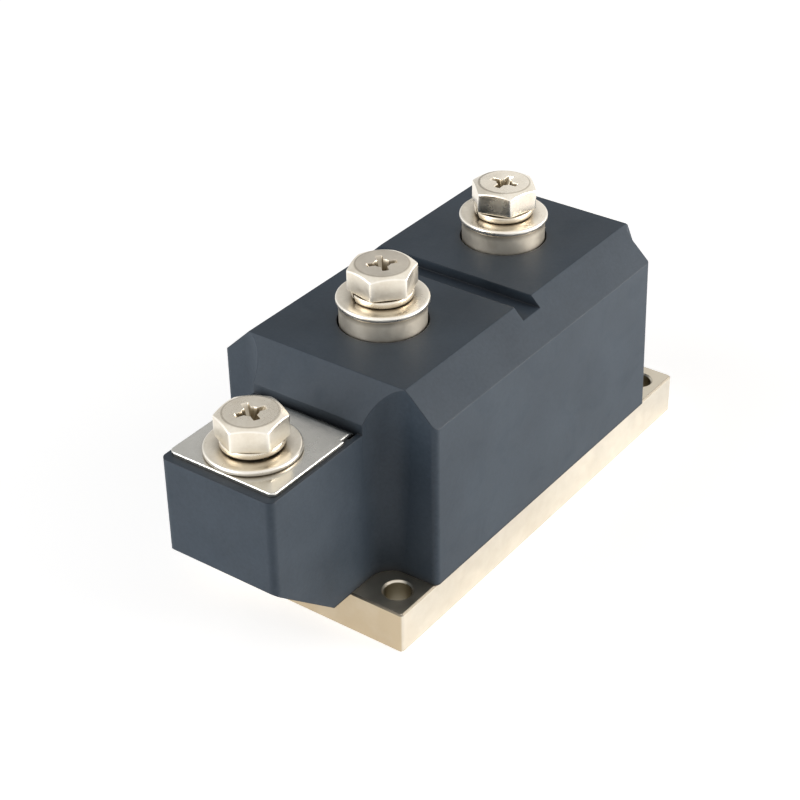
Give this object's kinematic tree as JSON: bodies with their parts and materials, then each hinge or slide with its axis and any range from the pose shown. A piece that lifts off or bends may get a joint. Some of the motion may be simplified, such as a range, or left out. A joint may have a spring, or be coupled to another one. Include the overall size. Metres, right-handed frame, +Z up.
{
  "type": "anti-reverse diode module",
  "caption": "Power diode module on a flat metal base: a moulded housing with a front terminal block and round screw-terminal posts through its top, blocking reverse current.",
  "frame": {"origin": "centre of the base plate's flat underside", "axes": "+X along the module from the front terminal block to the far end, +Y across it, +Z up"},
  "size_m": [0.127, 0.0508, 0.0644],
  "materials": {
    "housing_moulding": "moulded, matte dark blue-grey",
    "nickel_plated_copper": "bright nickel plate, slightly warm",
    "plated_steel": "bright zinc or nickel plate",
    "spring_steel": "plain, oiled",
    "molybdenum": "lapped",
    "silicon": "polished grey",
    "insulating_ceramic": "fired white",
    "insulating_resin": "moulded glass-filled resin",
    "sealant": "cured bead",
    "seal_rubber": "moulded rubber",
    "potting_gel": "soft clear gel"
  },
  "bodies": {
    "root": {"base_plate": "nickel_plated_copper", "housing": "housing_moulding", "housing_seal": "sealant", "common_busbar": "nickel_plated_copper", "captive_nut": "plated_steel", "silicone_gel": "potting_gel", "middle_ceramic_insulator": "insulating_ceramic", "middle_lower_molybdenum_disc": "molybdenum", "middle_silicon_diode": "silicon", "middle_upper_molybdenum_disc": "molybdenum", "middle_chip_ring": "insulating_resin", "middle_terminal_post": "nickel_plated_copper", "middle_insulating_bush": "insulating_resin", "middle_disc_springs": "spring_steel", "middle_pressure_plate": "plated_steel", "middle_clamp_screws": "plated_steel", "middle_post_seal": "seal_rubber", "far_ceramic_insulator": "insulating_ceramic", "far_lower_molybdenum_disc": "molybdenum", "far_silicon_diode": "silicon", "far_upper_molybdenum_disc": "molybdenum", "far_chip_ring": "insulating_resin", "far_terminal_post": "nickel_plated_copper", "far_insulating_bush": "insulating_resin", "far_disc_springs": "spring_steel", "far_pressure_plate": "plated_steel", "far_clamp_screws": "plated_steel", "far_post_seal": "seal_rubber", "front_plain_washer": "plated_steel", "front_spring_washer": "plated_steel", "front_terminal_bolt": "plated_steel", "middle_plain_washer": "plated_steel", "middle_spring_washer": "plated_steel", "middle_terminal_bolt": "plated_steel", "far_plain_washer": "plated_steel", "far_spring_washer": "plated_steel", "far_terminal_bolt": "plated_steel"}
  },
  "joints": []
}
